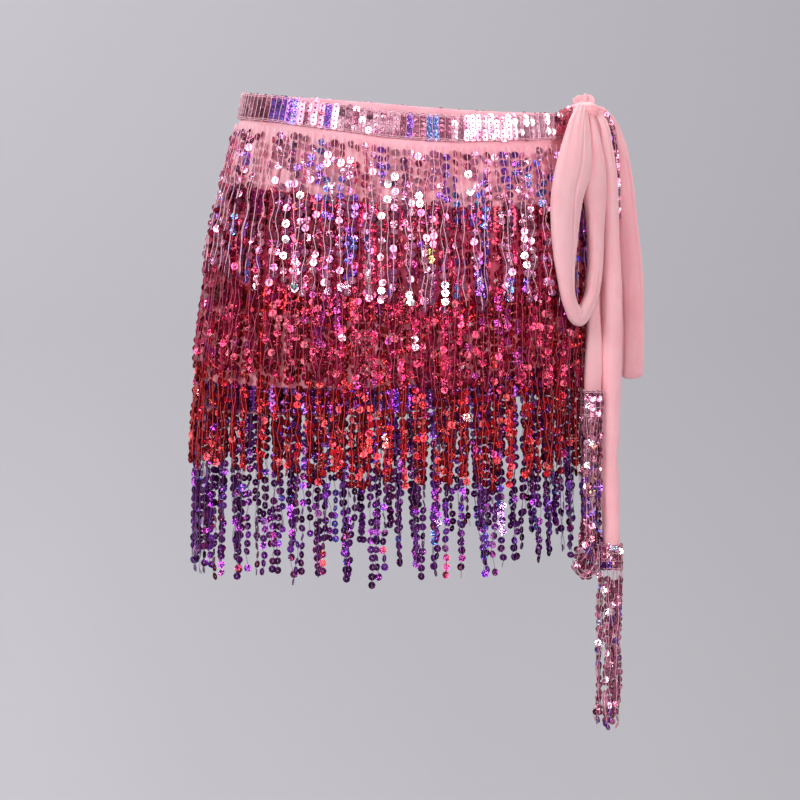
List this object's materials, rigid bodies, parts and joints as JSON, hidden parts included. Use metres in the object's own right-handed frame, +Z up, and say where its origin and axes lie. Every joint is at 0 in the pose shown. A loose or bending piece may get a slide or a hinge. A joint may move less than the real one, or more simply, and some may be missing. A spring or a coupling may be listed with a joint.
{
  "type": "belly dance hip scarf",
  "caption": "Belly dance hip scarf in its worn shape: pink chiffon wrap, sequinned waistband, tiers of pink, rose, red and purple sequin fringe, and a side bow with sequin tassels.",
  "frame": {"origin": "middle of the waist that the waistband goes round, at the mean height of its top edge", "axes": "+Z up, -Y towards the wearer's front, +X towards the wearer's left, where the bow is tied"},
  "size_m": [0.362, 0.2463, 0.5128],
  "materials": {
    "chiffon": "sheer, soft",
    "pink_sequin_trim": "holographic sequins on thread",
    "rose_sequin_trim": "glossy sequins on thread",
    "red_sequin_trim": "glossy sequins on thread",
    "purple_sequin_trim": "holographic sequins on thread"
  },
  "bodies": {
    "root": {"cloth_panel": "chiffon", "waistband": "pink_sequin_trim", "fringe_row_1_pink": "pink_sequin_trim", "fringe_row_2_rose": "rose_sequin_trim", "fringe_row_3_red": "red_sequin_trim", "fringe_row_4_purple": "purple_sequin_trim", "knot": "chiffon", "knot_ear": "chiffon", "bow_loop_front": "chiffon", "bow_loop_side": "chiffon", "tail_short": "chiffon", "tail_long": "chiffon", "tassel_short": "pink_sequin_trim", "tassel_long": "pink_sequin_trim"}
  },
  "joints": []
}
